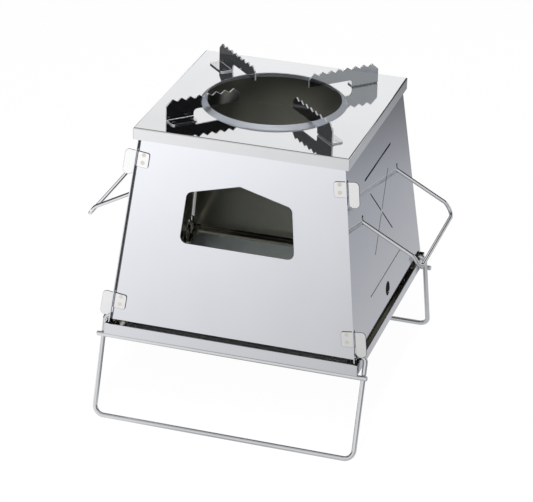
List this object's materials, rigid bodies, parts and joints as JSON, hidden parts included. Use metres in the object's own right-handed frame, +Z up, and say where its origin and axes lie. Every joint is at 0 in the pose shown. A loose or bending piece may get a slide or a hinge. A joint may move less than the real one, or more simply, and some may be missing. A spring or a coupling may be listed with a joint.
{
  "type": "folding camping wood stove",
  "caption": "Tapered sheet-steel box stove with fuel window, slotted panels, wire handles, ringed lid with toothed pan supports, on an ash tray with folding wire legs.",
  "frame": {"origin": "centre of the footprint, on the ground under the feet", "axes": "+X to the right as seen from the front window, +Y towards the back, +Z up"},
  "size_m": [0.3574, 0.313, 0.3315],
  "materials": {
    "panel_sheet": "bright rolled stainless sheet, nearly mirror",
    "tray_sheet": "bright rolled stainless sheet",
    "lid_sheet": "polished stainless sheet",
    "grate_plate": "grained stainless sheet",
    "hinge_plate": "satin stainless plate with spot-weld marks",
    "trivet_plate": "satin stainless plate with spot-weld marks",
    "wire": "polished stainless wire"
  },
  "bodies": {
    "base": {"tray": "tray_sheet"},
    "front_stand": {"front_leg": "wire", "front_leg_crossbar": "wire"},
    "back_stand": {"back_leg": "wire", "back_leg_crossbar": "wire"},
    "grate": {"fire_grate": "grate_plate"},
    "firebox": {"front_panel": "panel_sheet", "back_panel": "panel_sheet", "left_panel": "panel_sheet", "right_panel": "panel_sheet", "front_left_lower_hinge": "hinge_plate", "front_left_upper_hinge": "hinge_plate", "front_right_lower_hinge": "hinge_plate", "front_right_upper_hinge": "hinge_plate", "back_left_lower_hinge": "hinge_plate", "back_left_upper_hinge": "hinge_plate", "back_right_lower_hinge": "hinge_plate", "back_right_upper_hinge": "hinge_plate"},
    "left_bail": {"left_handle": "wire"},
    "right_bail": {"right_handle": "wire"},
    "top": {"lid": "lid_sheet", "back_right_trivet": "trivet_plate", "back_left_trivet": "trivet_plate", "front_left_trivet": "trivet_plate", "front_right_trivet": "trivet_plate"}
  },
  "joints": [
    {"name": "front_leg_fold", "type": "hinge", "parent": "base", "child": "front_stand", "pos_m": [0, -0.119, 0.1009], "axis": [1, 0, 0], "range_deg": [0, 62]},
    {"name": "back_leg_fold", "type": "hinge", "parent": "base", "child": "back_stand", "pos_m": [0, 0.119, 0.1009], "axis": [-1, 0, 0], "range_deg": [0, 62]},
    {"name": "grate_lift", "type": "slide", "parent": "base", "child": "grate", "axis": [0, 0, 1], "range_m": [0, 0.06]},
    {"name": "body_lift", "type": "slide", "parent": "base", "child": "firebox", "axis": [0, 0, 1], "range_m": [0, 0.1]},
    {"name": "left_handle_swing", "type": "hinge", "parent": "firebox", "child": "left_bail", "pos_m": [-0.11171, 0, 0.22489], "axis": [0, 1, 0], "range_deg": [0, 70]},
    {"name": "right_handle_swing", "type": "hinge", "parent": "firebox", "child": "right_bail", "pos_m": [0.11171, 0, 0.22489], "axis": [0, -1, 0], "range_deg": [0, 70]},
    {"name": "lid_lift", "type": "slide", "parent": "firebox", "child": "top", "axis": [0, 0, 1], "range_m": [0, 0.1]}
  ]
}
